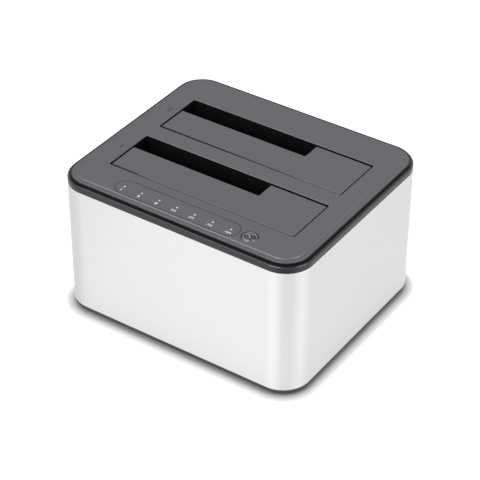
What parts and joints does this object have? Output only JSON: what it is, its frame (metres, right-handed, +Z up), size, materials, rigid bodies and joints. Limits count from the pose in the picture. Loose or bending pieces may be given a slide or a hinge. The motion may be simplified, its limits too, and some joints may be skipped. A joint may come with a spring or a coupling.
{
  "type": "hard drive docking station",
  "caption": "Box-shaped dock with sprung L-shaped flaps over its drive slots, status lights, a clone button and rear ports.",
  "frame": {"origin": "on the table below the middle of the housing", "axes": "+X to the right along the front, +Y to the back where the ports are, +Z up"},
  "size_m": [0.1334, 0.1134, 0.0762],
  "materials": {
    "brushed_aluminium": "satin",
    "gloss_black": "gloss",
    "matte_grey": "matte",
    "dark_plastic": "matte",
    "base_plastic": "matte",
    "foot_rubber": "matte",
    "zinc_steel": "satin",
    "shell_steel": "polished",
    "board_green": "satin",
    "chip_black": "matte",
    "lens_white": "gloss",
    "socket_black": "satin",
    "can_aluminium": "satin",
    "ribbon_grey": "matte",
    "contact_brass": "satin"
  },
  "bodies": {
    "dock": {"housing_sleeve": "brushed_aluminium", "base_tray": "base_plastic", "base_screws": "zinc_steel", "top_bezel": "gloss_black", "top_plate": "matte_grey", "status_strip": "matte_grey", "status_leds": "lens_white", "status_board": "board_green", "small_screws": "zinc_steel", "tact_switch": "chip_black", "button_spring": "zinc_steel", "main_board": "board_green", "bridge_chip": "chip_black", "memory_chip": "chip_black", "clock_crystal": "shell_steel", "power_coils": "chip_black", "capacitors": "can_aluminium", "ribbon_headers": "socket_black", "ribbon_cable": "ribbon_grey", "port_panel": "dark_plastic", "usb_shell": "shell_steel", "usb_tongues": "socket_black", "power_jack": "socket_black", "power_jack_pin": "contact_brass", "power_switch": "socket_black", "switch_terminals": "contact_brass", "foot_1": "foot_rubber", "foot_2": "foot_rubber", "foot_3": "foot_rubber", "foot_4": "foot_rubber", "light_pipe_1": "lens_white", "light_pipe_2": "lens_white", "light_pipe_3": "lens_white", "light_pipe_4": "lens_white", "light_pipe_5": "lens_white", "light_pipe_6": "lens_white", "light_pipe_7": "lens_white", "front_drive_well": "dark_plastic", "front_hinge_pin": "zinc_steel", "front_flap_spring": "zinc_steel", "front_drive_socket": "socket_black", "front_socket_contacts": "contact_brass", "front_slot_liner": "dark_plastic", "rear_drive_well": "dark_plastic", "rear_hinge_pin": "zinc_steel", "rear_flap_spring": "zinc_steel", "rear_drive_socket": "socket_black", "rear_socket_contacts": "contact_brass", "rear_slot_liner": "dark_plastic"},
    "front_flap": {"front_flap": "matte_grey"},
    "rear_flap": {"rear_flap": "matte_grey"},
    "clone_button": {"clone_button": "matte_grey"},
    "power_rocker": {"power_rocker": "gloss_black"}
  },
  "joints": [
    {"name": "front_flap_hinge", "type": "hinge", "parent": "dock", "child": "front_flap", "pos_m": [0, -0.03645, 0.0713], "axis": [-1, 0, 0], "range_deg": [0, 90], "stiffness_Nm_per_rad": 0.004, "springref_deg": -40.11, "deforming": ["front_flap_spring"]},
    {"name": "rear_flap_hinge", "type": "hinge", "parent": "dock", "child": "rear_flap", "pos_m": [0, 0.00305, 0.0713], "axis": [-1, 0, 0], "range_deg": [0, 90], "stiffness_Nm_per_rad": 0.004, "springref_deg": -40.11, "deforming": ["rear_flap_spring"]},
    {"name": "clone_button_press", "type": "slide", "parent": "dock", "child": "clone_button", "axis": [0, 0, -1], "range_m": [0, 0.0006], "stiffness_N_per_m": 350, "springref_m": -0.002, "deforming": ["button_spring"]},
    {"name": "power_rocker_tilt", "type": "hinge", "parent": "dock", "child": "power_rocker", "pos_m": [0.026, 0.0525, 0.0195], "axis": [0, 0, -1], "range_deg": [0, 14]}
  ]
}
